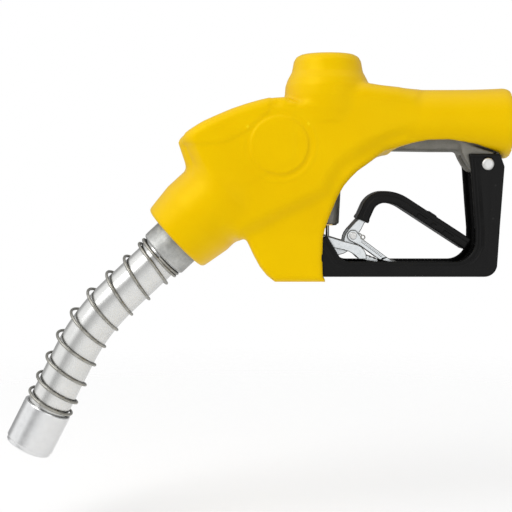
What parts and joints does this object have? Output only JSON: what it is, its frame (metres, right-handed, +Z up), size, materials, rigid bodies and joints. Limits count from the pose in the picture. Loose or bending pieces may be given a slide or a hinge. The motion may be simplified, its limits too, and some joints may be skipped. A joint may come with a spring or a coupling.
{
  "type": "fuel nozzle",
  "caption": "Automatic fuel nozzle: vinyl-covered cast body, bent spout with anchor spring and ferrule, lever with hold-open clip and lever guard.",
  "frame": {"origin": "centre of the valve hump's flat top, on the main valve's axis, 133 mm from the hose inlet's face along X and 46.7 mm above the inlet's axis", "axes": "+X out of the inlet towards the hose, -X towards the spout, +Z up, Y across the nozzle, which is symmetric about Y = 0"},
  "size_m": [0.3641, 0.061, 0.2881],
  "materials": {
    "yellow_vinyl": "semi-gloss yellow vinyl",
    "black_vinyl": "satin black vinyl",
    "cast_aluminium": "as-cast matt aluminium",
    "satin_aluminium": "drawn satin aluminium",
    "zinc_plated_steel": "zinc plated",
    "spring_steel": "bright spring wire",
    "brass": "machined",
    "rubber": "matt"
  },
  "bodies": {
    "nozzle_body": {"body_casting": "cast_aluminium", "check_valve_seat": "brass", "check_valve_spring": "spring_steel", "cover_screw_1": "zinc_plated_steel", "cover_screw_2": "zinc_plated_steel", "cover_screw_3": "zinc_plated_steel", "cover_screw_4": "zinc_plated_steel", "diaphragm": "rubber", "diaphragm_cover": "cast_aluminium", "diaphragm_spring": "spring_steel", "guard_front_pin": "zinc_plated_steel", "guard_rivet": "satin_aluminium", "hold_open_rack": "zinc_plated_steel", "inlet_strainer": "brass", "lever_guard": "black_vinyl", "packing_nut": "brass", "plunger_retainer": "zinc_plated_steel", "plunger_spring": "spring_steel", "poppet_cap": "cast_aluminium", "poppet_cap_seal": "rubber", "poppet_spring": "spring_steel", "rack_rivet_far": "zinc_plated_steel", "rack_rivet_near": "zinc_plated_steel", "scuff_guard": "yellow_vinyl", "spout_bushing": "satin_aluminium", "spout_ferrule": "satin_aluminium", "spout_o_ring": "rubber", "spout_spring": "spring_steel", "spout_tube": "satin_aluminium", "stem_packing": "rubber", "vent_tube": "satin_aluminium"},
    "plunger_body": {"trip_plunger": "satin_aluminium", "latch_ball_1": "satin_aluminium", "latch_ball_2": "satin_aluminium", "latch_ball_3": "satin_aluminium"},
    "lever_body": {"lever": "zinc_plated_steel", "lever_grip": "black_vinyl", "lever_pin": "satin_aluminium", "clip_rivet": "satin_aluminium", "clip_spring_near": "spring_steel", "clip_spring_far": "spring_steel"},
    "clip_body": {"hold_open_clip": "zinc_plated_steel"},
    "poppet_body": {"main_poppet": "brass", "poppet_seal": "rubber", "main_stem": "satin_aluminium"},
    "check_valve_body": {"check_valve": "brass"},
    "latch_body": {"latch_pin": "satin_aluminium"}
  },
  "joints": [
    {"name": "plunger_slide", "type": "slide", "parent": "nozzle_body", "child": "plunger_body", "axis": [0.3746, 0, -0.9272], "range_m": [0, 0.005], "deforming": ["plunger_spring"]},
    {"name": "lever_pivot", "type": "hinge", "parent": "plunger_body", "child": "lever_body", "pos_m": [-0.027, 0, -0.1403], "axis": [0, -1, 0], "range_deg": [0, 14]},
    {"name": "clip_pivot", "type": "hinge", "parent": "lever_body", "child": "clip_body", "pos_m": [0.0174, 0, -0.1281], "axis": [0, 1, 0], "range_deg": [0, 11]},
    {"name": "poppet_lift", "type": "slide", "parent": "nozzle_body", "child": "poppet_body", "axis": [0, 0, 1], "range_m": [0, 0.0074], "deforming": ["poppet_spring"]},
    {"name": "check_valve_slide", "type": "slide", "parent": "nozzle_body", "child": "check_valve_body", "axis": [-0.7314, 0, -0.682], "range_m": [0, 0.005], "deforming": ["check_valve_spring"]},
    {"name": "latch_pin_slide", "type": "slide", "parent": "nozzle_body", "child": "latch_body", "axis": [-0.3746, 0, 0.9272], "range_m": [0, 0.003], "deforming": ["diaphragm_spring", "diaphragm"]}
  ],
  "couplings": [
    {"joint": "poppet_lift", "follows": "lever_pivot", "m_per_rad": 0.03}
  ]
}
